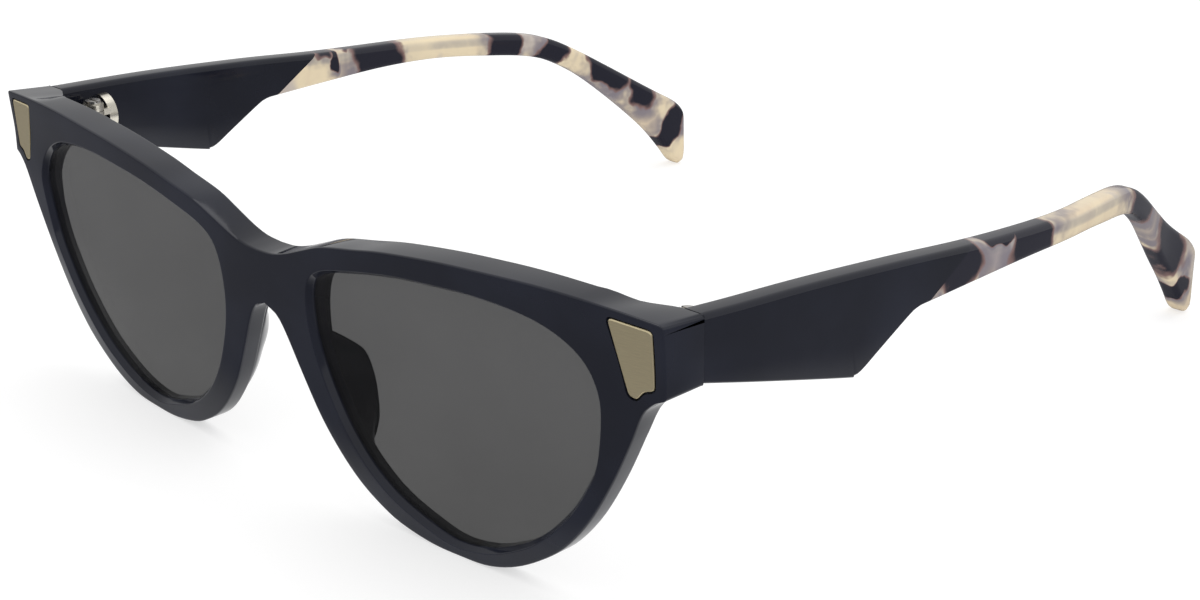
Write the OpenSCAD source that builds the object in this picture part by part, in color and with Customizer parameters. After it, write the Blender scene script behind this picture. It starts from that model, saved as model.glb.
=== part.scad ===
// Cat-eye sunglasses: curved acetate front, two tinted lenses, glued nose pads,
// metal corner plaques, and two folding temples with spliced rear sections.
// Millimetres. +Z up, -Y is the side that faces forward, temple tips at +Y.

/* [Front] */
// Thickness of the rims
front_thickness = 2.9; // [2.8:0.1:3.1]
// Thickness of the front along the brow
brow_thickness = 4.9; // [4.7:0.1:5.1]
// Radius of the wrap of the front
wrap_radius = 401; // [380:1:440]
// Forward lean of the front
lean = 5.3; // [4.5:0.1:6]

/* [Lenses] */
// Thickness of a lens
lens_thickness = 1.6; // [1.4:0.1:1.7]
// Depth of the groove that holds a lens
groove = 0.7; // [0.5:0.1:0.8]
// Distance of the lens behind the front face
lens_set = 1.1; // [1:0.1:1.2]

/* [Temples] */
// Thickness of a temple
temple_thickness = 3.7; // [3.6:0.1:3.8]
// Width of the flat core wire
wire_width = 2.4; // [2:0.1:2.8]
// Thickness of the flat core wire
wire_thickness = 1.2; // [1:0.1:1.4]

/* [Hinges] */
// Outside diameter of the hinge knuckles
knuckle_diameter = 3.2; // [3:0.1:3.3]
// Diameter of the hinge screw shank
screw_diameter = 1.3; // [1.2:0.1:1.4]
// Radial running clearance of the screw in the temple knuckles
clearance = 0.05; // [0.03:0.01:0.08]

/* [Plaques] */
// Depth of the recess that holds a corner plaque
plaque_depth = 0.6; // [0.5:0.1:0.8]

/* [Hidden] */
$fn = 64;
// seam plane between the front and the temples
seam = 9.2;
// half width over the end pieces
half = 68.1;
taper = 5.7;
// space left at the seam so that the temple swings free
seam_gap = 0.1;
// hinge axis and the lower end of the lowest knuckle
axis_x = 62;
axis_y = 13;
hinge_z = 33.1;
// pitch of the five knuckles and the gap between two of them
pitch = 1.14;
knuckle_gap = 0.1;
hinge_top = hinge_z + 5 * pitch;
// rounded collar of the temple hinge
collar_y = 15.7;
collar_depth = 1.5;
// shift that centres the part on the origin
mid_y = 69.92;

// upper edge from the bridge to the end piece
brow = [
    [0, 35], [3, 35.2], [6, 36], [9.6, 37.4], [13.7, 38.9], [19.6, 40.05], [25.3, 41.1],
    [34, 42.1], [42, 42.6], [50, 42.9], [57, 42.8], [62.5, 42.5], [68.1, 42]
];
// lower edge from the end piece round the rim to the bridge
jaw = [
    [68.1, 32.5], [66.7, 31.8], [65, 30], [63.1, 25.6], [60.1, 19.4], [56.6, 13.4],
    [53.1, 8.9], [49.6, 5.7], [44.2, 2.3], [38.9, 0.4], [33.6, 0], [28.3, 0.1],
    [22.8, 1.2], [19.2, 2.8], [15.7, 5.1], [12.3, 8.5], [9, 13.1], [6, 19.1],
    [3.8, 23.8], [2.2, 26.1], [0, 27.1]
];
// edge of a lens opening
eye = [
    [10.4, 32.4], [13, 34.7], [19.1, 36.3], [26.5, 37.6], [33.4, 38.2], [40, 38.5],
    [47, 38.1], [52.1, 36.9], [56, 34.6], [58.1, 31.5], [58.5, 28], [57.4, 21.3],
    [55.5, 17.2], [53, 13.3], [49.5, 9.4], [46.2, 6.6], [42.6, 4.5], [39.2, 3],
    [35.6, 2.1], [32.1, 1.9], [28.5, 2.7], [23.5, 4.5], [19.9, 6.7], [16.6, 9.9],
    [13.4, 14.7], [10.6, 21.6], [9.7, 27.4]
];
// corners of a plaque, each with the reach of its rounding
badge = [
    [60.4, 41.35, 0.8], [66.6, 40.95, 0.7], [66.65, 33.4, 0.6], [65.2, 33, 0.6],
    [64.2, 31.7, 0.55], [63.1, 32.1, 0.45]
];

// outline whose corners are rounded
function rounded(p) = let (m = len(p))
    [for (i = [0:m - 1])
        let (a = [p[(i + m - 1) % m][0], p[(i + m - 1) % m][1]], b = [p[i][0], p[i][1]],
            c = [p[(i + 1) % m][0], p[(i + 1) % m][1]],
            u = b + (a - b) / norm(a - b) * p[i][2], v = b + (c - b) / norm(c - b) * p[i][2])
            for (t = [0:0.25:1])
                (1 - t) * (1 - t) * u + 2 * t * (1 - t) * b + t * t * v];
function knot(a, b, c, d, t) =
    0.5 * (2 * b + (c - a) * t + (2 * a - 5 * b + 4 * c - d) * t * t
    + (3 * b - a - 3 * c + d) * t * t * t);
function open_curve(p, n) = concat(
    [for (i = [0:len(p) - 2])
        for (j = [0:n - 1])
            knot(i > 0 ? p[i - 1] : 2 * p[0] - p[1], p[i], p[i + 1],
                i < len(p) - 2 ? p[i + 2] : 2 * p[i + 1] - p[i], j / n)],
    [p[len(p) - 1]]);
function closed_curve(p, n) = let (m = len(p))
    [for (i = [0:m - 1])
        for (j = [0:n - 1])
            knot(p[(i + m - 1) % m], p[i], p[(i + 1) % m], p[(i + 2) % m], j / n)];
function mirrored(p) = [for (q = p) [-q[0], q[1]]];
function backwards(p) = [for (i = [len(p) - 1:-1:0]) p[i]];
function tail(p) = [for (i = [1:len(p) - 1]) p[i]];
// closed outline grown outwards by d, for points that run clockwise
function grown(p, d) = let (m = len(p))
    [for (i = [0:m - 1])
        let (v = p[(i + 1) % m] - p[(i + m - 1) % m])
            p[i] + d / norm(v) * [-v[1], v[0]]];

eye_curve = closed_curve(eye, 3);
front_outline = concat(
    open_curve(concat(mirrored(backwards(tail(brow))), brow), 3),
    open_curve(concat(jaw, mirrored(tail(backwards(jaw)))), 3));

module pair(side) {
    if (side > 0) children();
    else mirror([1, 0, 0]) children();
}

module placed() {
    translate([0, -mid_y, 0]) children();
}

// prism whose outline is drawn in the x-z plane, running from y0 to y1
module prism_y(p, y0, y1) {
    translate([0, y1, 0])
        rotate([90, 0, 0])
            linear_extrude(height = y1 - y0) polygon(p);
}

// everything that lies deeper than d behind the wrapped front face
module behind(d, tilt = lean) {
    rotate([tilt, 0, 0])
        translate([0, wrap_radius, -30])
            cylinder(r = wrap_radius - d, h = 110, $fn = 1440);
}

// slab of the wrapped front between two depths
module slab(d0, d1) {
    difference() {
        behind(d0);
        behind(d1);
    }
}

module lens_shape() {
    intersection() {
        prism_y(grown(eye_curve, groove), -20, 30);
        slab(lens_set, lens_set + lens_thickness);
    }
}

// side view of a temple, (y, z)
temple_side = concat(
    open_curve([[9.3, 41.3], [13.4, 41], [28.4, 39.9], [45.8, 38.2], [64.3, 36.1],
        [89, 34], [100.5, 32.8], [107.8, 31.6], [112.8, 29.9], [118, 27.1], [124, 23.4],
        [131, 19], [136, 16], [140.3, 13.5], [142.3, 11.7]], 3),
    open_curve([[143.1, 9.7], [143.2, 4], [143, 1.6], [142.6, 0.4], [141.8, 0.1],
        [140.6, 1], [138.6, 3.5], [135, 7.6], [131, 11.5], [125.8, 16.2], [120.5, 20.7],
        [116.7, 23.4], [112.6, 25.7], [109, 27.1], [105.3, 28], [100.3, 28.8],
        [89.4, 30.2], [76.6, 30.9], [61.9, 31.1], [51.7, 31.1], [49.4, 31], [47.6, 30.4],
        [41.5, 27.2], [38.3, 25.5], [36.7, 25.2], [34.4, 25.6], [9.3, 32.6]], 3));
// outer face of a temple in plan, (x, y)
temple_plan = open_curve([[68, 9.3], [68.6, 20], [69.4, 45], [69.7, 60], [69.8, 76],
    [69.3, 86], [67.9, 94.5], [66.4, 102], [63.6, 114.5], [60.4, 127], [59.1, 134],
    [58.3, 144]], 3);
// centre line of the flat core wire in side view, (y, z)
wire_side = open_curve([[17.2, 36.4], [45, 34.6], [76, 32.9], [95, 31.6], [104, 30.2]], 2);

// right end piece, from the front face back to the seam
module end_block() {
    intersection() {
        behind(0);
        linear_extrude(height = 60)
            polygon([[56, -5], [half, -5], [half, seam], [64.3, seam], [56, 4.6]]);
        translate([50, 0, 0]) rotate([90, 0, 90]) linear_extrude(height = 30)
            polygon([[-5, 32.5], [seam, 32.5], [seam, 41.3], [1.7, 42], [-5, 42.3]]);
    }
}

module plaque_shape(lift) {
    intersection() {
        prism_y(rounded(badge), -20, 8);
        slab(-lift, plaque_depth);
    }
}

module leaf_plate() {
    translate([axis_x - 0.6, 5.5, hinge_z])
        cube([1.2, seam - 5.5, 5 * pitch]);
}

module front_frame() {
    color([0.03, 0.03, 0.05]) placed() {
        difference() {
            union() {
                intersection() {
                    prism_y(front_outline, -20, 30);
                    difference() {
                        behind(0);
                        intersection() {
                            behind(front_thickness);
                            behind(brow_thickness - 40 * tan(taper), lean - taper);
                        }
                    }
                }
                end_block();
                mirror([1, 0, 0]) end_block();
            }
            for (s = [-1, 1]) pair(s) {
                prism_y(eye_curve, -20, 30);
                lens_shape();
                plaque_shape(0.1);
                leaf_plate();
            }
        }
    }
}

module lens(side) {
    color([0.2, 0.2, 0.2, 0.5]) placed() pair(side) lens_shape();
}

module lens_left() { lens(-1); }
module lens_right() { lens(1); }

// glued pad: a wedge along the nose side of the rim, flush with the rim's edges
module nose_pad(side) {
    color([0.05, 0.05, 0.08]) placed() pair(side)
        difference() {
            intersection() {
                prism_y(front_outline, -20, 30);
                prism_y([[3, 24.6], [8, 25], [11, 24], [14, 21], [18, 8.2], [13, 6.6],
                    [8, 9]], -20, 30);
                behind(front_thickness);
                behind(brow_thickness - 40 * tan(taper), lean - taper);
                translate([13.2, 5.8, 15.5]) rotate([-7.5, -14.2, 0])
                    translate([0, 0, -14]) linear_extrude(height = 28)
                        polygon([[0.4, -0.6], [0.5, -9], [-9, -9], [-9, -7.9],
                            [-5.6, -4.9], [-1.2, -0.8], [-0.4, -0.2]]);
            }
            prism_y(eye_curve, -20, 30);
        }
}

module nose_pad_left() { nose_pad(-1); }
module nose_pad_right() { nose_pad(1); }

module plaque(side) {
    color([0.7, 0.62, 0.45]) placed() pair(side) plaque_shape(0.1);
}

module plaque_left() { plaque(-1); }
module plaque_right() { plaque(1); }

// one knuckle, counted from the bottom
module knuckle(i) {
    translate([axis_x, axis_y, hinge_z + i * pitch + knuckle_gap / 2])
        cylinder(d = knuckle_diameter, h = pitch - knuckle_gap, $fn = 48);
}

module hinge_front(side) {
    color([0.75, 0.7, 0.6]) placed() pair(side)
        difference() {
            union() {
                leaf_plate();
                translate([axis_x - 0.6, seam - 0.1, hinge_z])
                    cube([1.2, 1.6, 5 * pitch]);
                for (i = [0:2:4]) {
                    knuckle(i);
                    translate([axis_x - 0.6, seam, hinge_z + i * pitch + knuckle_gap / 2])
                        cube([1.2, axis_y - seam, pitch - knuckle_gap]);
                }
            }
            translate([axis_x, axis_y, hinge_z - 1])
                cylinder(d = screw_diameter, h = 10, $fn = 48);
        }
}

module hinge_front_left() { hinge_front(-1); }
module hinge_front_right() { hinge_front(1); }

module collar() {
    translate([64.9, collar_y + collar_depth, hinge_z + 2.5 * pitch])
        rotate([90, 0, 0]) cylinder(d = 6.4, h = collar_depth, $fn = 64);
}

module hinge_temple(side) {
    color([0.75, 0.7, 0.6]) placed() pair(side)
        difference() {
            union() {
                collar();
                for (i = [1:2:3]) {
                    knuckle(i);
                    translate([axis_x - 0.4, axis_y, hinge_z + i * pitch + knuckle_gap / 2])
                        cube([1.2, collar_y - axis_y + 0.1, pitch - knuckle_gap]);
                }
            }
            translate([axis_x, axis_y, hinge_z - 1])
                cylinder(d = screw_diameter + 2 * clearance, h = 10, $fn = 48);
        }
}

module hinge_temple_left() { hinge_temple(-1); }
module hinge_temple_right() { hinge_temple(1); }

module hinge_screw(side) {
    color([0.7, 0.68, 0.62]) placed() pair(side)
        translate([axis_x, axis_y, hinge_z])
            difference() {
                union() {
                    cylinder(d = screw_diameter, h = 5 * pitch, $fn = 48);
                    translate([0, 0, 5 * pitch - knuckle_gap / 2])
                        cylinder(d = 2.3, h = 0.55, $fn = 48);
                }
                translate([-2, -0.2, 5 * pitch + 0.25]) cube([4, 0.4, 1]);
            }
}

module hinge_screw_left() { hinge_screw(-1); }
module hinge_screw_right() { hinge_screw(1); }

// flat core wire: a strip in side view that follows the middle of the temple
module wire() {
    intersection() {
        translate([50, 0, 0]) rotate([90, 0, 90]) linear_extrude(height = 30)
            polygon(concat([for (q = wire_side) q + [0, wire_width / 2]],
                backwards([for (q = wire_side) q - [0, wire_width / 2]])));
        linear_extrude(height = 60)
            polygon(concat([for (q = temple_plan) q - [(temple_thickness - wire_thickness) / 2, 0]],
                backwards([for (q = temple_plan) q - [(temple_thickness + wire_thickness) / 2, 0]])));
    }
}

// whole temple, both materials
module temple_blank() {
    intersection() {
        translate([50, 0, 0]) rotate([90, 0, 90]) linear_extrude(height = 30)
            polygon(temple_side);
        linear_extrude(height = 60)
            polygon(concat(temple_plan,
                backwards([for (q = temple_plan) q - [temple_thickness, 0]])));
    }
}

// half space behind the slanted splice
module rear_side() {
    translate([40, 0, 0]) rotate([90, 0, 90]) linear_extrude(height = 50)
        polygon([[41.3, 25.1], [71.9, 43.1], [160, 43.1], [160, -10], [60, -10]]);
}

module temple(side) {
    color([0.03, 0.03, 0.05]) placed() pair(side)
        difference() {
            temple_blank();
            rear_side();
            wire();
            collar();
        }
}

module temple_left() { temple(-1); }
module temple_right() { temple(1); }

module temple_tip(side) {
    color([0.75, 0.68, 0.55]) placed() pair(side)
        difference() {
            intersection() {
                temple_blank();
                rear_side();
            }
            wire();
        }
}

module temple_tip_left() { temple_tip(-1); }
module temple_tip_right() { temple_tip(1); }

module core_wire(side) {
    color([0.6, 0.6, 0.6]) placed() pair(side)
        difference() {
            wire();
            collar();
        }
}

module core_wire_left() { core_wire(-1); }
module core_wire_right() { core_wire(1); }

front_frame();
lens_left();
lens_right();
nose_pad_left();
nose_pad_right();
plaque_left();
plaque_right();
hinge_front_left();
hinge_front_right();
hinge_temple_left();
hinge_temple_right();
hinge_screw_left();
hinge_screw_right();
temple_left();
temple_right();
temple_tip_left();
temple_tip_right();
core_wire_left();
core_wire_right();
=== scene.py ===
import math
import bpy
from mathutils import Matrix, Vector


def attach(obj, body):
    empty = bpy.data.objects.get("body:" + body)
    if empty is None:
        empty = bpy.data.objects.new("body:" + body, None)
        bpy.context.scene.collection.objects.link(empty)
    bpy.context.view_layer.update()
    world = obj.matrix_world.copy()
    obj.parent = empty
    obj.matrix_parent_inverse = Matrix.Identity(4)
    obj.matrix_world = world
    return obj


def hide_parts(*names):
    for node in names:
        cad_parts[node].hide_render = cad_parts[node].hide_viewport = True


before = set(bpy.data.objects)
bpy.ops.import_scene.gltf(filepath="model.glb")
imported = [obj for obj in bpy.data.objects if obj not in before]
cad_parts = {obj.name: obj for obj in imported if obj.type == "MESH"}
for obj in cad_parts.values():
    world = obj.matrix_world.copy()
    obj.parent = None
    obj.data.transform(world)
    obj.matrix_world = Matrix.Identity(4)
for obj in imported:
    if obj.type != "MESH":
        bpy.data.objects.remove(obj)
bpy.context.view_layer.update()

# ---------------------------------------------------------------- measures, in millimetres
MID_Y = 69.92  # middle of the whole depth, taken off every y
WRAP = 401.0  # radius of the front's curve
LEAN = math.radians(5.3)  # the front leans forward towards its top
FRONT_T = 2.9  # thickness of the rims
NOSE_T = 2.7  # thickness of their walls beside the nose
BROW_T = 4.9
BROW_Z = 40  # height where the brow has that thickness
TAPER = math.radians(5.7)
FAIR = 0.55  # the lower outer rims stand this far forward of the plain curve
SEAM = 9.2  # y where an end piece meets its temple
END_X = 56  # x where an end piece starts to sweep back
END_Y = 4.6  # depth of the back face there
END_RUN = 8.3  # and how far on it reaches the seam
LENS_SET = 1.1  # the lens lies this far behind the front's face
LENS_T = 1.6
LENS_GRIP = 0.45  # how far the lens reaches under the rim
PLAQUE_T = 0.58
SEAT_DEPTH = 0.6
SEAT_GAP = 0.22  # room round a plaque in its seat
TEMPLE_T = 3.7

# outlines seen from the front, as (x, z), for the right half
BROW = [(0, 35), (3, 35.2), (6, 36), (9.6, 37.4), (13.7, 38.9), (19.6, 40.05), (25.3, 41.1),
        (34, 42.1), (42, 42.6), (50, 42.9), (57, 42.8), (62.5, 42.5), (68.1, 42)]
JAW = [(68.1, 32.5), (66.7, 31.8), (65, 30), (63.1, 25.6), (60.1, 19.4), (56.6, 13.4),
       (53.1, 8.9), (49.6, 5.7), (44.2, 2.3), (38.9, 0.4), (33.6, 0), (28.3, 0.1), (22.8, 1.2),
       (19.2, 2.8), (15.7, 5.1), (12.3, 8.5), (9, 13.1), (6, 19.1), (3.8, 23.8), (2.2, 26.1),
       (0, 27.1)]
MIDDLE = [(0, 29.6), (0, 32.0), (0, 35)]
EYE = [(10.4, 32.4), (13, 34.7), (19.1, 36.3), (26.5, 37.6), (33.4, 38.2), (40, 38.5), (47, 38.1),
       (52.1, 36.9), (56, 34.6), (58.1, 31.5), (58.5, 28), (57.4, 21.3), (55.5, 17.2), (53, 13.3),
       (49.5, 9.4), (46.2, 6.6), (42.6, 4.5), (39.2, 3), (35.6, 2.1), (32.1, 1.9), (28.5, 2.7),
       (23.5, 4.5), (19.9, 6.7), (16.6, 9.9), (13.4, 14.7), (10.6, 21.6), (9.7, 27.4)]

# places on the outside that stand opposite places on the opening, once round the rim
RIM_PAIRS = [((0, 35), (10.4, 32.4)), ((3, 35.2), (10.8, 33)), ((6, 36), (11.3, 33.6)),
             ((9.6, 37.4), (12.2, 34.2)), ((13.7, 38.9), (14.5, 35.2)), ((50, 42.9), (49, 37.7)),
             ((62.5, 42.5), (54.5, 35.6)), ((68.1, 42), (57, 33.4)), ((68.1, 32.5), (58.3, 30.5)),
             ((65, 30), (58.5, 28)), ((63.1, 25.6), (58.1, 24.5)), ((56.6, 13.4), (53, 13.3)),
             ((49.6, 5.7), (46.2, 6.6)), ((33.6, 0), (33, 1.9)), ((22.8, 1.2), (24.5, 4.1)),
             ((15.7, 5.1), (18.2, 8.2)), ((9, 13.1), (13.2, 15)), ((3.8, 23.8), (10.1, 24)),
             ((0, 27.1), (9.7, 27.4)), ((0, 35), (10.4, 32.4))]

# corners of a plaque, as (x, z, rounding)
BADGE = [(60.4, 41.35, 0.8), (66.6, 40.95, 0.7), (66.65, 33.4, 0.6), (65.2, 33, 0.6),
         (64.2, 31.7, 0.55), (63.1, 32.1, 0.45)]

# crest of a nose pad from top to bottom, as (z, x, height above the back of the rim)
CREST = [(24.4, 9.2, 1.9), (23, 10.3, 3.7), (21.2, 11.3, 5.4), (18.3, 12.1, 6.1), (15.4, 13.2, 5.8),
         (12.2, 13.9, 5.3), (9.6, 14.2, 4), (7.6, 14.6, 1.7)]

# a temple from the side, as (y, z), and its outer face from above, as (y, x)
TOP = [(9.3, 41.3), (13.4, 41), (28.4, 39.9), (45.8, 38.2), (64.3, 36.1), (89, 34), (100.5, 32.8),
       (107.8, 31.6), (112.8, 29.9), (118, 27.1), (124, 23.4), (131, 19), (136, 16), (140.3, 13.5),
       (142.3, 11.7), (143.1, 9.7)]
UNDER = [(9.3, 32.6), (34.4, 25.6), (36.7, 25.2), (38.3, 25.5), (41.5, 27.2), (47.6, 30.4),
         (49.4, 31), (51.7, 31.1), (61.9, 31.1), (76.6, 30.9), (89.4, 30.2), (100.3, 28.8),
         (105.3, 28), (109, 27.1), (112.6, 25.7), (116.7, 23.4), (120.5, 20.7), (125.8, 16.2),
         (131, 11.5), (135, 7.6), (138.6, 3.5), (140.6, 1), (141.8, 0.1), (142.6, 0.4),
         (143, 1.6), (143.2, 4)]
PLAN = [(9.3, 68), (20, 68.6), (45, 69.4), (60, 69.7), (76, 69.8), (86, 69.3), (94.5, 67.9),
        (102, 66.4), (114.5, 63.6), (127, 60.4), (134, 59.1), (144, 58.3)]

# places on the top that stand opposite places on the underside
TEMPLE_PAIRS = [((9.3, 41.3), (9.3, 32.6)), ((36, 39.2), (36.7, 25.2)), ((42, 38.6), (41.5, 27.2)),
                ((49, 37.9), (48.4, 30.7)), ((63, 36.2), (61.9, 31.1)), ((89, 34), (89.4, 30.2)),
                ((107, 31.7), (105.3, 28)), ((118, 27.1), (114.6, 24.7)), ((127, 21.5), (123, 18.6)),
                ((136, 16), (133, 9.6)), ((140.3, 13.5), (138.6, 3.5)), ((142.3, 11.7), (141.8, 0.1)),
                ((143.1, 9.7), (143.2, 4))]


# ---------------------------------------------------------------- curves and faces
def at(x, y, z):
    """A place in millimetres, in the frame's own metres."""
    return Vector((x, y - MID_Y, z)) / 1000


def ease(start, end, value):
    """0 before the start, 1 after the end, and smooth between them."""
    t = min(max((value - start) / (end - start), 0.0), 1.0)
    return t * t * (3 - 2 * t)


def wrapped(x, z, depth, lean):
    """y of a curved, leaning face at a depth behind the front's face."""
    radius = WRAP - depth
    fair = FAIR * ease(25, 55, abs(x)) * (1 - ease(29, 37, z))
    return (WRAP - math.sqrt(radius * radius - x * x)) / math.cos(lean) - z * math.tan(lean) - fair


def skin_y(x, z, depth=0.0):
    return wrapped(x, z, depth, LEAN)


def back_y(x, z):
    """y of the back face, which swells towards the brow and less so near the ends."""
    swell = BROW_T - BROW_Z * math.tan(TAPER) - 0.5 * ease(42, END_X, abs(x))
    return max(wrapped(x, z, FRONT_T, LEAN), wrapped(x, z, swell, LEAN - TAPER))


def curve_point(before, start, end, after, t):
    """Point on the smooth curve from start to end."""
    return tuple(0.5 * (2 * q + (r - p) * t + (2 * p - 5 * q + 4 * r - s) * t * t
                        + (3 * q - p - 3 * r + s) * t ** 3)
                 for p, q, r, s in zip(before, start, end, after))


def smooth(points, closed=False, steps=12):
    """Fine line through the points."""
    count = len(points)

    def pick(i):
        if closed:
            return points[i % count]
        if i < 0:
            return tuple(2 * u - v for u, v in zip(points[0], points[1]))
        if i >= count:
            return tuple(2 * u - v for u, v in zip(points[-1], points[-2]))
        return points[i]

    line = []
    for i in range(count if closed else count - 1):
        four = [pick(i + k) for k in (-1, 0, 1, 2)]
        line += [curve_point(*four, k / steps) for k in range(steps)]
    return line + [tuple(points[0] if closed else points[-1])]


def lengths(line):
    """Distance run at each point of a line."""
    total = [0.0]
    for a, b in zip(line, line[1:]):
        total.append(total[-1] + math.dist(a, b))
    return total


def point_on(line, run, distance):
    distance = min(max(distance, 0.0), run[-1])
    low, high = 0, len(run) - 1
    while high - low > 1:
        mid = (low + high) // 2
        low, high = (mid, high) if run[mid] <= distance else (low, mid)
    f = (distance - run[low]) / max(run[high] - run[low], 1e-9)
    return between(line[low], line[high], f)


def between(a, b, f):
    return tuple(p + f * (q - p) for p, q in zip(a, b))


def nearest(line, run, place, after):
    """Distance run at the point nearest a place, not before a distance already run."""
    return min((math.dist(q, place), s) for q, s in zip(line, run) if s >= after - 1e-6)[1]


def along(line, value):
    """Second coordinate of a line where its first, which only grows, has a value."""
    for a, b in zip(line, line[1:]):
        if a[0] <= value <= b[0]:
            return a[1] + (b[1] - a[1]) * (value - a[0]) / max(b[0] - a[0], 1e-9)
    return line[0][1] if value < line[0][0] else line[-1][1]


def matched(pairs, one, other, spacing):
    """Points in step on two lines, through the pairs; spacing says how many fit a stretch."""
    one_run, other_run = lengths(one), lengths(other)
    rows = []
    a, b = 0.0, 0.0
    for pair in pairs[1:]:
        last = pair is pairs[-1]
        a_end = one_run[-1] if last else nearest(one, one_run, pair[0], a)
        b_end = other_run[-1] if last else nearest(other, other_run, pair[1], b)
        count = max(3, round(spacing(a_end - a, b_end - b)))
        for k in range(count):
            rows.append((point_on(one, one_run, a + (a_end - a) * k / count),
                         point_on(other, other_run, b + (b_end - b) * k / count)))
        a, b = a_end, b_end
    return rows


def grown(line, distance):
    """Closed outline moved outwards."""
    out = []
    for i, point in enumerate(line):
        before, after = line[i - 1], line[(i + 1) % len(line)]
        tx, tz = after[0] - before[0], after[1] - before[1]
        reach = math.hypot(tx, tz)
        out.append((point[0] - tz / reach * distance, point[1] + tx / reach * distance))
    return out


def rounded(corners, steps=6):
    """Closed outline through corners that each have a rounding."""
    out = []
    for i, (x, z, reach) in enumerate(corners):
        corner = Vector((x, z))
        before, after = corners[i - 1][:2], corners[(i + 1) % len(corners)][:2]
        start = (Vector(before) - corner).normalized() * reach + corner
        end = (Vector(after) - corner).normalized() * reach + corner
        for k in range(steps + 1):
            t = k / steps
            out.append(tuple((1 - t) ** 2 * start + 2 * t * (1 - t) * corner + t * t * end))
    return out


def wall(first, second, count):
    """Faces between two closed rings of vertices, given by their first vertices."""
    faces = []
    for k in range(count):
        j = (k + 1) % count
        faces.append((first + k, first + j, second + j, second + k))
    return faces


def tube(rings, count):
    """Faces along a row of rings that each have count vertices."""
    faces = []
    for ring in range(rings - 1):
        faces += wall(ring * count, (ring + 1) * count, count)
    return faces


def plate(outline, front, back, rings):
    """Closed curved plate inside an outline, between two depths of the front's curve."""
    count = len(outline)
    cx = sum(p[0] for p in outline) / count
    cz = sum(p[1] for p in outline) / count
    verts, faces = [], []
    for depth in (front, back):
        for ring in range(rings, 0, -1):
            for p in outline:
                x, z = cx + (p[0] - cx) * ring / rings, cz + (p[1] - cz) * ring / rings
                verts.append(at(x, skin_y(x, z, depth), z))
        verts.append(at(cx, skin_y(cx, cz, depth), cz))
    side = rings * count + 1
    for base, turn in ((0, 1), (side, -1)):
        inner = base + (rings - 1) * count
        faces += [f[::turn] for ring in range(rings - 1)
                  for f in wall(base + ring * count, base + (ring + 1) * count, count)]
        faces += [(inner + i, inner + (i + 1) % count, base + side - 1)[::turn] for i in range(count)]
    faces += [(i, side + i, side + j, j) for i, j in ((i, (i + 1) % count) for i in range(count))]
    return verts, faces


# ---------------------------------------------------------------- pieces
def only(obj):
    bpy.ops.object.select_all(action="DESELECT")
    obj.select_set(True)
    bpy.context.view_layer.objects.active = obj


def open_mesh(obj):
    """Edit mode, with the whole mesh selected."""
    only(obj)
    bpy.ops.object.mode_set(mode="EDIT")
    bpy.ops.mesh.select_all(action="SELECT")


def close_mesh():
    bpy.ops.object.mode_set(mode="OBJECT")


def shade(obj, angle):
    only(obj)
    bpy.ops.object.shade_smooth_by_angle(angle=math.radians(angle))


def finish_mesh(obj, angle=32, merge=0.00002):
    """Merges doubles, points the faces outwards and shades flat across sharper edges."""
    open_mesh(obj)
    bpy.ops.mesh.remove_doubles(threshold=merge)
    bpy.ops.mesh.normals_make_consistent(inside=False)
    close_mesh()
    shade(obj, angle)


def apply(obj, kind, **settings):
    only(obj)
    modifier = obj.modifiers.new(kind.title(), kind)
    for key, value in settings.items():
        setattr(modifier, key, value)
    bpy.ops.object.modifier_apply(modifier=modifier.name)


def declare(obj, body, nodes):
    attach(obj, body)
    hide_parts(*nodes)


def new_object(name, verts, faces):
    mesh = bpy.data.meshes.new(name)
    mesh.from_pydata([tuple(v) for v in verts], [], faces)
    mesh.update()
    obj = bpy.data.objects.new(name, mesh)
    bpy.context.scene.collection.objects.link(obj)
    return obj


def new_piece(name, verts, faces, material, body, nodes):
    obj = new_object(name, verts, faces)
    obj.data.materials.append(material)
    declare(obj, body, nodes)
    return obj


def copied(obj, name, material):
    twin = obj.copy()
    twin.data = obj.data.copy()
    twin.name = name
    bpy.context.scene.collection.objects.link(twin)
    twin.data.materials[0] = material
    return twin


def mirrored_copy(obj, name, material, body, nodes):
    twin = copied(obj, name, material)
    for v in twin.data.vertices:
        v.co.x = -v.co.x
    twin.data.flip_normals()
    declare(twin, body, nodes)
    return twin


# ---------------------------------------------------------------- shader maths
class Sock:
    """A shader socket; arithmetic on it adds Math nodes."""

    def __init__(self, book, out):
        self.book, self.out = book, out

    def math(self, kind, *args):
        return self.book.node("ShaderNodeMath", {"operation": kind}, dict(enumerate(args)))

    def __add__(self, other):
        return self.math("ADD", self, other)

    def __radd__(self, other):
        return self.math("ADD", other, self)

    def __sub__(self, other):
        return self.math("SUBTRACT", self, other)

    def __rsub__(self, other):
        return self.math("SUBTRACT", other, self)

    def __mul__(self, other):
        return self.math("MULTIPLY", self, other)

    def __rmul__(self, other):
        return self.math("MULTIPLY", other, self)

    def __truediv__(self, other):
        return self.math("DIVIDE", self, other)

    def __rtruediv__(self, other):
        return self.math("DIVIDE", other, self)

    def __pow__(self, other):
        return self.math("POWER", self, other)

    def larger(self, other):
        return self.math("MAXIMUM", self, other)


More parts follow.
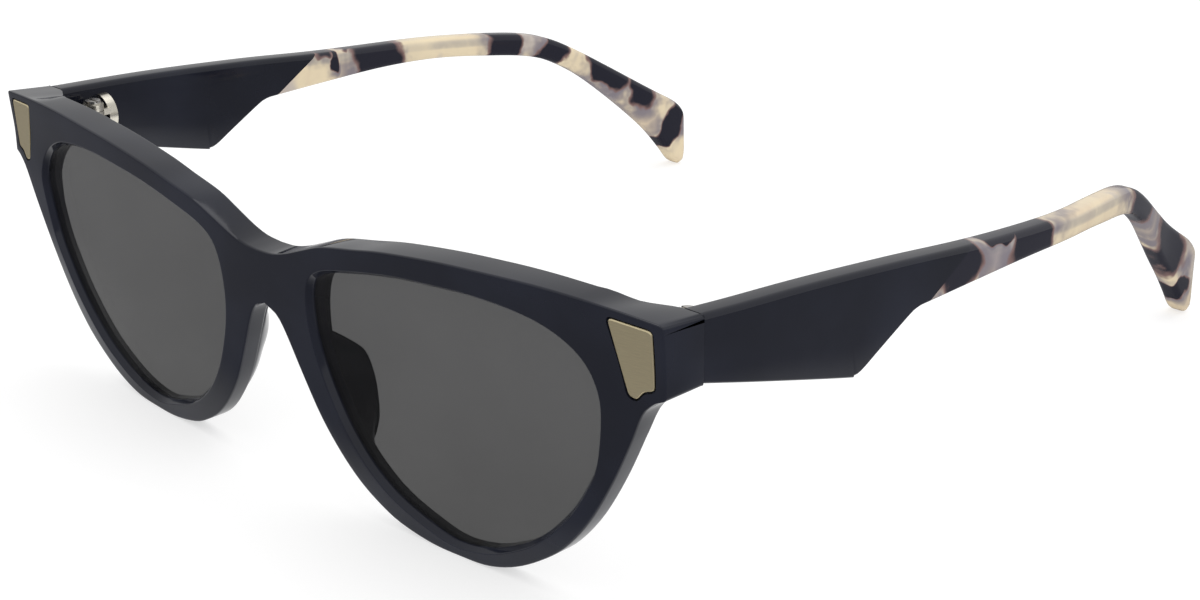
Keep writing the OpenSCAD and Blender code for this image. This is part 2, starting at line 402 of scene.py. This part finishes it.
class Book:
    """One material and the nodes it is written with."""

    def __init__(self, name):
        self.mat = bpy.data.materials.new(name)
        self.mat.use_nodes = True
        self.tree = self.mat.node_tree
        self.tree.nodes.clear()

    def feed(self, socket, value):
        """Links a value that is a socket, and sets any other; a colour gets its alpha."""
        if isinstance(value, Sock):
            self.tree.links.new(value.out, socket)
        elif socket.type == "RGBA" and len(value) == 3:
            socket.default_value = (*value, 1)
        else:
            socket.default_value = value

    def node(self, kind, settings=None, inputs=None, out=0):
        node = self.tree.nodes.new(kind)
        for key, value in (settings or {}).items():
            setattr(node, key, value)
        for key, value in (inputs or {}).items():
            self.feed(node.inputs[key], value)
        return Sock(self, node.outputs[out])

    def place(self):
        """Object coordinates in millimetres, y measured from the front's face."""
        co = self.node("ShaderNodeTexCoord", out=3)
        return self.node("ShaderNodeMapping", {"vector_type": "POINT"},
                         {0: co, 1: (0, MID_Y, 0), 3: (1000, 1000, 1000)})

    def split(self, vector):
        parts = self.node("ShaderNodeSeparateXYZ", None, {0: vector})
        return [Sock(self, out) for out in parts.out.node.outputs]

    def noise(self, vector, scale, detail, rough):
        return self.node("ShaderNodeTexNoise", None,
                         {"Vector": vector, "Scale": scale, "Detail": detail, "Roughness": rough})

    def band(self, value, start, end, low=0.0, high=1.0):
        """Smooth step from low to high while the value goes from start to end."""
        return self.node("ShaderNodeMapRange", {"interpolation_type": "SMOOTHSTEP"},
                         {0: value, 1: start, 2: end, 3: low, 4: high})

    def blend(self, factor, a, b):
        """Colour a where the factor is 0, colour b where it is 1."""
        return self.node("ShaderNodeMix", {"data_type": "RGBA"}, {0: factor, 6: a, 7: b}, out=2)

    def bump(self, height, strength, distance):
        return self.node("ShaderNodeBump", None,
                         {"Strength": strength, "Distance": distance, "Height": height})

    def end(self, shader):
        end = self.tree.nodes.new("ShaderNodeOutputMaterial")
        self.tree.links.new(shader.out, end.inputs[0])
        return self.mat

    def surface(self, **inputs):
        named = {key.replace("_", " "): value for key, value in inputs.items()}
        return self.end(self.node("ShaderNodeBsdfPrincipled", None, named))


# ---------------------------------------------------------------- materials
def polished_black():
    """Near-black navy acetate, hand polished, with faint depth in the colour."""
    b = Book("polished_black_acetate")
    p = b.place()
    cloud = b.noise(p, 0.045, 3, 0.5)
    wipe = b.noise(p, 0.35, 4, 0.6)
    base = b.blend(b.band(cloud, 0.35, 0.7), (0.009, 0.010, 0.016), (0.014, 0.016, 0.026))
    rough = b.band(wipe, 0.3, 0.75, 0.06, 0.11)
    waves = b.bump(b.noise(p, 0.12, 2, 0.4), 0.12, 0.00012)
    return b.surface(Base_Color=base, Roughness=rough, IOR=1.49, Specular_IOR_Level=0.4, Normal=waves)


def mottled(name, blots):
    """Cream acetate with soft dark blots: tilted ovals in the side view, as (y, z, half
    length, half height, tilt)."""
    sand, amber = (0.78, 0.66, 0.46), (0.70, 0.57, 0.41)
    mauve, wire, veil, brown = (0.40, 0.37, 0.40), (0.36, 0.34, 0.32), (0.20, 0.18, 0.21), (0.21, 0.13, 0.12)
    ink = (0.014, 0.014, 0.023)
    b = Book(name)
    p = b.place()
    y, z = b.split(p)[1:]
    drift = b.noise(p, 0.16, 2, 0.5)
    sway = b.noise(p, 0.21, 2, 0.5)
    fine = b.noise(p, 0.5, 3, 0.55)
    u = y + (drift - 0.5) * 6 + (fine - 0.5) * 0.8
    v = z + (sway - 0.5) * 6
    dark, halo = None, None
    for cy, cz, long, high, tilt in blots:
        co, si = math.cos(math.radians(tilt)), math.sin(math.radians(tilt))
        away = (((u - cy) * co + (v - cz) * si) / long) ** 2 + (((v - cz) * co - (u - cy) * si) / high) ** 2
        core, edge = b.band(away, 2.0, 0.35), b.band(away, 7.0, 1.5)
        dark = dark.larger(core) if dark else core
        halo = halo.larger(edge) if halo else edge
    cloud = b.noise(p, 0.14, 3, 0.55)
    cream = b.blend(b.band(cloud, 0.38, 0.66), sand, amber)
    cream = b.blend(b.band(b.noise(p, 0.11, 2, 0.5), 0.54, 0.68, 0, 0.6), cream, mauve)
    # the core wire shows as a faint streak
    axis = z + (y - 80) * 0.09 - 33.6
    streak = b.band(axis * axis, 0.9, 0.05) * b.band(y, 108, 102) * b.band(cloud, 0.3, 0.5, 0.25, 0.6)
    cream = b.blend(streak, cream, wire)
    cream = b.blend(halo * b.band(cloud, 0.36, 0.58, 0.1, 0.95), cream, veil)
    cream = b.blend(b.band(dark, 0.08, 0.4), cream, brown)
    base = b.blend(b.band(dark, 0.3, 0.75), cream, ink)
    rough = b.band(fine, 0.3, 0.75, 0.08, 0.14)
    waves = b.bump(b.noise(p, 0.12, 2, 0.4), 0.1, 0.0001)
    return b.surface(Base_Color=base, Roughness=rough, IOR=1.49, Specular_IOR_Level=0.45, Normal=waves)


def smoke_lens():
    """Grey tint, very slightly darker towards the top."""
    b = Book("smoke_lens")
    p = b.place()
    haze = b.noise(p, 0.05, 2, 0.5)
    base = b.blend(b.band(b.split(p)[2], 0, BROW_Z), (0.012, 0.012, 0.012), (0.009, 0.009, 0.010))
    return b.surface(Base_Color=base, Roughness=b.band(haze, 0.3, 0.7, 0.02, 0.05), IOR=1.45,
                     Specular_IOR_Level=0.05, Alpha=b.band(haze, 0.2, 0.8, 0.70, 0.715))


def satin_metal(name, tint, low, high):
    """Metal with fine level brush lines, its roughness between low and high."""
    b = Book(name)
    x, y, z = b.split(b.place())
    brushed = b.node("ShaderNodeCombineXYZ", None, {0: x * 0.6, 1: y * 0.6, 2: z * 9})
    grain = b.noise(brushed, 1.0, 3, 0.6)
    base = b.blend(b.band(grain, 0.3, 0.7), tint, tuple(0.92 * c for c in tint))
    return b.surface(Base_Color=base, Metallic=1.0, Roughness=b.band(grain, 0.3, 0.7, low, high),
                     Normal=b.bump(grain, 0.15, 0.00003))


BLACK = polished_black()
CREAM_R = mottled("mottled_acetate_right", [
    (58, 34.3, 3.6, 4.5, 40), (67, 37, 12, 1.2, -4), (74.5, 33, 4.6, 5.5, 15),
    (114.5, 28.5, 5.5, 4.5, -50), (132, 15.5, 7, 4.2, -45), (137.5, 5, 2.6, 1.5, 20)])
CREAM_L = mottled("mottled_acetate_left", [
    (74.5, 33, 4.6, 6, 10), (69, 36.5, 8, 1.4, -4), (64.2, 34.2, 0.9, 1.4, 0),
    (102.3, 30.5, 2.8, 7, 5), (112.5, 27.5, 2.6, 7, -30), (123.5, 23, 5, 2.6, -38),
    (131.5, 17.3, 3.5, 3, -40), (139.2, 8.6, 6, 2.3, 52)])
LENS = smoke_lens()
GOLD = satin_metal("champagne_plaque", (0.90, 0.78, 0.50), 0.28, 0.38)
HINGE = satin_metal("hinge_plating", (0.80, 0.76, 0.66), 0.18, 0.30)
STEEL = satin_metal("screw_steel", (0.72, 0.70, 0.67), 0.20, 0.32)

# ---------------------------------------------------------------- front
jaw_line = smooth(JAW)
outer_line = smooth(BROW) + jaw_line + MIDDLE
eye_line = smooth(EYE, closed=True)

ROW_STEP = 1.15
LIP = 0.6  # width of the sloped edge round the opening, in front
BACK_LIP = 0.3
LIP_DEPTH = 0.85
SPREAD = [0.2, 0.4, 0.6]  # places across the rim, from the opening to the outside

# a section of the rim runs from the back of the opening to the front, the outside and back
HOLE_BACK, HOLE_FRONT, LIP_EDGE = 0, 1, 2
OUTER_FRONT = LIP_EDGE + len(SPREAD) + 1
OUTER_BACK = OUTER_FRONT + 1
SECTION = OUTER_BACK + len(SPREAD) + 1


def end_depth(x, z):
    """y of the back face: the front's own back, or the sweep back to the seam at an end piece."""
    back = back_y(x, z)
    sweep = END_Y + (SEAM - END_Y) * min((x - END_X) / END_RUN, 1)
    return back + ease(31.0, 32.5, z) * max(sweep - back, 0)


def rim_back(x, z):
    """Back edge of the outer wall, thinner along the nose."""
    y = end_depth(x, z)
    thin = ease(3.5, 9, z) * (1 - ease(12, 17, x)) * (1 - ease(27.2, 30, z))
    return y - thin * max(y - skin_y(x, z) - NOSE_T, 0)


def end_drop(x, z, y):
    """How far the top of an end piece comes down to meet its temple's top."""
    if z <= 40:
        return 0
    return max(z - TOP[0][1] - 0.093 * (SEAM - y), 0) * ease(END_X, 61, x)


def rim_section(outer, hole, lip, back_lip):
    """One section of the rim, from the opening round to its back."""
    def put(point, y, drop=0):
        return at(point[0], y, point[1] - drop)

    section = [put(hole, back_y(*hole)), put(hole, skin_y(*hole, LIP_DEPTH)), put(lip, skin_y(*lip))]
    for f in SPREAD:
        point = between(lip, outer, f)
        section.append(put(point, skin_y(*point)))
    rim_y = rim_back(*outer)
    section.append(put(outer, skin_y(*outer)))
    section.append(put(outer, rim_y, end_drop(*outer, rim_y)))
    for f in reversed(SPREAD):
        point = between(back_lip, outer, f)
        y = back_y(*point) + ease(0.15, 0.55, f) * (end_depth(*point) - back_y(*point))
        section.append(put(point, min(y, rim_y + (1 - f) * 0.9 * math.dist(outer, hole))))
    return section


def on_middle(*points):
    return all(point[0] < 1e-6 for point in points)


def softness(ring, other, outer, beside):
    """Bevel weight of an edge, in millimetres of bevel, from the two ends' places."""
    if ring == other:
        if ring in (OUTER_FRONT, OUTER_BACK) and on_middle(outer, beside):
            return 0.0
        at_seam = min(outer[0], beside[0]) > 64.2 and min(outer[1], beside[1]) > 32
        return {HOLE_BACK: 0.4, HOLE_FRONT: 0.14, LIP_EDGE: 0.14, OUTER_FRONT: 0.35,
                OUTER_BACK: 0.06 if at_seam else 0.3}.get(ring, 0.0)
    if {ring, other} == {OUTER_FRONT, OUTER_BACK} and outer[0] > BROW[-1][0] - 0.01:
        for corner, weight in ((BROW[-1], 0.9), (JAW[0], 0.35)):
            if abs(outer[1] - corner[1]) < 0.02:
                return weight
    return 0.0


def build_front():
    """Right half as a ring of sections round the opening, then mirrored and bevelled."""
    rows = matched(RIM_PAIRS, outer_line, eye_line, lambda outside, inside: outside / ROW_STEP)
    outers, holes = zip(*rows)
    verts, faces = [], []
    for around in zip(outers, holes, grown(holes, LIP), grown(holes, BACK_LIP)):
        verts += rim_section(*around)
    for i in range(len(rows)):
        j = (i + 1) % len(rows)
        for ring in range(SECTION):
            if ring == OUTER_FRONT and on_middle(outers[i], outers[j]):
                continue
            after = (ring + 1) % SECTION
            faces.append((i * SECTION + ring, j * SECTION + ring,
                          j * SECTION + after, i * SECTION + after))
    obj = new_piece("front", verts, faces, BLACK, "front", ["front_frame"])
    weights = obj.data.attributes.new("bevel_weight_edge", "FLOAT", "EDGE")
    for edge in obj.data.edges:
        a, b = edge.vertices
        weights.data[edge.index].value = softness(a % SECTION, b % SECTION,
                                                  outers[a // SECTION], outers[b // SECTION])
    apply(obj, "MIRROR", use_clip=True, merge_threshold=0.00001)
    apply(obj, "BEVEL", limit_method="WEIGHT", width=0.001, segments=4, profile=0.6,
          use_clamp_overlap=False, miter_outer="MITER_ARC")
    finish_mesh(obj, 30, 0.000005)
    return obj


def recess(side):
    """Cuts the seat of a plaque into the front."""
    verts, faces = plate(grown(badge_line, SEAT_GAP), -1.5, SEAT_DEPTH, 3)
    tool = new_object("seat", [Vector((side * v.x, v.y, v.z)) for v in verts], faces)
    open_mesh(tool)
    bpy.ops.mesh.normals_make_consistent(inside=False)
    close_mesh()
    apply(front, "BOOLEAN", operation="DIFFERENCE", object=tool, solver="EXACT")
    bpy.data.objects.remove(tool)


front = build_front()


# ---------------------------------------------------------------- lenses
def build_lens(points=160):
    run = lengths(eye_line)
    even = [point_on(eye_line, run, run[-1] * i / points) for i in range(points)]
    verts, faces = plate(grown(even, LENS_GRIP), LENS_SET, LENS_SET + LENS_T, 8)
    obj = new_piece("lens_r", verts, faces, LENS, "front", ["lens_right"])
    finish_mesh(obj, 40)
    return obj


lens_r = build_lens()
mirrored_copy(lens_r, "lens_l", LENS, "front", ["lens_left"])


# ---------------------------------------------------------------- corner plaques
def build_plaque():
    verts, faces = plate(badge_line, 0.0, PLAQUE_T, 3)
    obj = new_piece("plaque_r", verts, faces, GOLD, "front", ["plaque_right"])
    finish_mesh(obj)
    apply(obj, "BEVEL", limit_method="ANGLE", angle_limit=math.radians(60), width=0.00018,
          segments=2, use_clamp_overlap=True)
    return obj


badge_line = rounded(BADGE)
recess(1)
recess(-1)
shade(front, 30)
plaque_r = build_plaque()
mirrored_copy(plaque_r, "plaque_l", GOLD, "front", ["plaque_left"])


# ---------------------------------------------------------------- nose pads
def build_pad():
    """Blade that grows out of the back of the rim beside the nose."""
    nose_side = sorted((z, x) for x, z in jaw_line if z < 26 and x < 20)
    hole_side = sorted((z, x) for x, z in eye_line if z < 30 and x < 20)
    sunk = -0.35  # the foot of the blade stands this far inside the rim
    verts = []
    spine = smooth(CREST, steps=6)
    for z, x, y in spine:
        inner = along(nose_side, z) + 0.5
        outer = along(hole_side, z) - 0.35
        rise = max(y - back_y(x, z), 0.0)
        section = smooth([(inner, sunk), (inner + 0.1, 0.12 * rise),
                          (inner + 0.35 * (x - inner), 0.62 * rise),
                          (inner + 0.72 * (x - inner), 0.93 * rise), (x - 0.25, rise),
                          (x, 0.93 * rise), (x - 0.15, 0.82 * rise),
                          (x + 0.45 * (outer - x), 0.45 * rise), (outer, sunk)], steps=3)
        verts += [at(px, back_y(px, z) + lift, z) for px, lift in section]
    count = len(section)
    faces = tube(len(spine), count)
    faces.append(tuple(range(count)))
    faces.append(tuple(reversed(range(len(verts) - count, len(verts)))))
    obj = new_piece("pad_r", verts, faces, BLACK, "front", ["nose_pad_right"])
    finish_mesh(obj, 50)
    return obj


pad_r = build_pad()
mirrored_copy(pad_r, "pad_l", BLACK, "front", ["nose_pad_left"])

# ---------------------------------------------------------------- temples
TEMPLE_STEP = 0.9
TIP_END = UNDER[-1][0]
SPLICE = at(60, 51.5, 31.1)
SPLICE_NORMAL = Vector((0, -6.0, 10.2)).normalized()
QUARTER = [(math.cos(k * math.pi / 12), math.sin(k * math.pi / 12)) for k in range(7)]


def temple_ring(down, wide, high, low):
    """Section of a temple as (inwards, down), its corners rounded by high above and low below."""
    ring = [(high * (1 - si), high * (1 - co)) for co, si in QUARTER]
    ring += [(0, high + k * (down - high - low)) for k in (0.33, 0.67)]
    ring += [(low * (1 - co), down - low * (1 - si)) for co, si in QUARTER]
    return ring + [(wide - a, b) for a, b in reversed(ring)]


def build_temple():
    """Whole right temple, as a tube of rounded sections that closes in at its tip."""
    top_line, under_line, plan_line = smooth(TOP), smooth(UNDER), smooth(PLAN)
    stations = matched(TEMPLE_PAIRS, top_line, under_line,
                       lambda above, below: max(above, below) / TEMPLE_STEP)
    stations.append((top_line[-1], under_line[-1]))
    verts = []
    for top, under in stations:
        down = math.dist(top, under)
        dy, dz = (under[0] - top[0]) / down, (under[1] - top[1]) / down
        to_end = max(TIP_END - (top[0] + under[0]) / 2, 0)
        tuck = 1.0 - math.sqrt(max(1.0 - max(1.0 - to_end, 0) ** 2, 0.0))
        wide = TEMPLE_T - 1.5 * tuck
        soft = ease(48, 80, under[0])
        high = min(0.9 + 0.25 * soft, 0.47 * wide, 0.3 * down)
        low = min(0.3 + 0.85 * soft, 0.47 * wide, 0.3 * down)
        ring = temple_ring(down, wide, high, low)
        for a, b in ring:
            y, z = top[0] + dy * b, top[1] + dz * b
            verts.append(at(along(plan_line, y) - (TEMPLE_T - wide) / 2 - a, y, z))
    count = len(ring)
    faces = tube(len(stations), count)
    for base, turn in ((0, 1), (len(verts) - count, -1)):
        for k in range(count // 2 - 1):
            cap = (base + k, base + k + 1, base + count - 2 - k, base + count - 1 - k)
            faces.append(cap[::turn])
    obj = new_piece("temple_r", verts, faces, BLACK, "right_temple", ["temple_right"])
    finish_mesh(obj, 40, 0.000002)
    return obj


def cut_at_splice(obj, keep_rear):
    """Cuts a temple where its black section meets the mottled one, and closes the cut."""
    open_mesh(obj)
    bpy.ops.mesh.bisect(plane_co=SPLICE, plane_no=SPLICE_NORMAL, use_fill=True,
                        clear_inner=not keep_rear, clear_outer=keep_rear, threshold=0.000001)
    close_mesh()


temple_r = build_temple()
tip_r = copied(temple_r, "tip_r", CREAM_R)
declare(tip_r, "right_temple", ["temple_tip_right"])
cut_at_splice(temple_r, keep_rear=False)
cut_at_splice(tip_r, keep_rear=True)
temple_l = mirrored_copy(temple_r, "temple_l", BLACK, "left_temple", ["temple_left"])
tip_l = mirrored_copy(tip_r, "tip_l", CREAM_L, "left_temple", ["temple_tip_left"])
for piece in (temple_r, tip_r, temple_l, tip_l):
    shade(piece, 35)

# ---------------------------------------------------------------- finishes of the CAD pieces that stay
for node, material in (("hinge_front", HINGE), ("hinge_temple", HINGE), ("hinge_screw", STEEL),
                       ("core_wire", STEEL)):
    for side in ("left", "right"):
        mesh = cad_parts[f"{node}_{side}"].data
        mesh.materials.clear()
        mesh.materials.append(material)


# ---------------------------------------------------------------- floor, light, camera
def pale_floor():
    """White, with soft shadows; to reflected rays it carries a painted pool of light beneath the object and
    painted shade further out.
    """
    b = Book("pale_floor")
    place = b.node("ShaderNodeTexCoord", out=3)
    x, y = b.split(place)[:2]
    pale = b.blend(b.noise(place, 0.6, 2, 0.5), (0.93, 0.93, 0.93), (0.95, 0.95, 0.95))
    # painted light and shade seen only in reflections: the floor is pale in this patch beneath the object
    # and painted dark everywhere else
    reflected_light_patch = (b.band(y, -0.085, -0.07) * b.band(y, 0.03, -0.01)
            * b.band(x, -0.12, -0.08) * b.band(x, 0.12, 0.08))
    # painted shade (dark) far out and a painted pool of light (pale) beneath the object, both shown only to
    # reflected rays
    under = b.blend(reflected_light_patch, (0.2, 0.2, 0.21), (0.9, 0.9, 0.9))
    glow = b.node("ShaderNodeEmission", None, {0: (1, 1, 1, 1), 1: 1.14})
    seen = b.node("ShaderNodeMixShader", None,
                  {0: 0.5, 1: b.node("ShaderNodeBsdfDiffuse", None, {0: pale}), 2: glow})
    return b.end(b.node("ShaderNodeMixShader", None, {
        0: b.node("ShaderNodeLightPath", out=3), 1: seen,
        2: b.node("ShaderNodeBsdfDiffuse", None, {0: under})}))


bpy.ops.object.select_all(action="DESELECT")
bpy.ops.mesh.primitive_plane_add(size=8, location=(0, 0, 0))
floor = bpy.context.object
floor.name = "floor"
floor.data.materials.append(pale_floor())

scene = bpy.context.scene
scene.view_settings.view_transform = "Standard"


def studio():
    """White surroundings, dimmer in what the object reflects."""
    world = bpy.data.worlds.new("studio")
    world.use_nodes = True
    sky = world.node_tree
    shells = [sky.nodes["Background"], sky.nodes.new("ShaderNodeBackground")]
    blend = sky.nodes.new("ShaderNodeMixShader")
    for k, (shell, level) in enumerate(zip(shells, (1.0, 0.62))):
        shell.inputs["Color"].default_value = (1.0, 1.0, 1.0, 1)
        shell.inputs["Strength"].default_value = level
        sky.links.new(shell.outputs[0], blend.inputs[k + 1])
    sky.links.new(sky.nodes.new("ShaderNodeLightPath").outputs["Is Glossy Ray"], blend.inputs[0])
    sky.links.new(blend.outputs[0], sky.nodes["World Output"].inputs[0])
    return world


scene.world = studio()

lamp = bpy.data.lights.new("over", "AREA")
lamp.shape = "RECTANGLE"
lamp.size = 0.9
lamp.size_y = 0.7
lamp.energy = 2.2
softbox = bpy.data.objects.new("over", lamp)
softbox.location = (0.0, 0.1, 0.9)
softbox.rotation_euler = (-softbox.location).to_track_quat("-Z", "Y").to_euler()
scene.collection.objects.link(softbox)

DOWN, ROUND = 21.83, 44.07  # degrees that the camera looks down, and stands round to the right
view = bpy.data.cameras.new("camera")
view.lens = 64.6
view.sensor_width = 36
view.clip_start = 0.01
camera = bpy.data.objects.new("camera", view)
camera.location = (0.2185, -0.1635 - MID_Y / 1000, 0.1348)
camera.rotation_euler = (math.radians(90 - DOWN), 0, math.radians(ROUND))
scene.collection.objects.link(camera)
scene.camera = camera
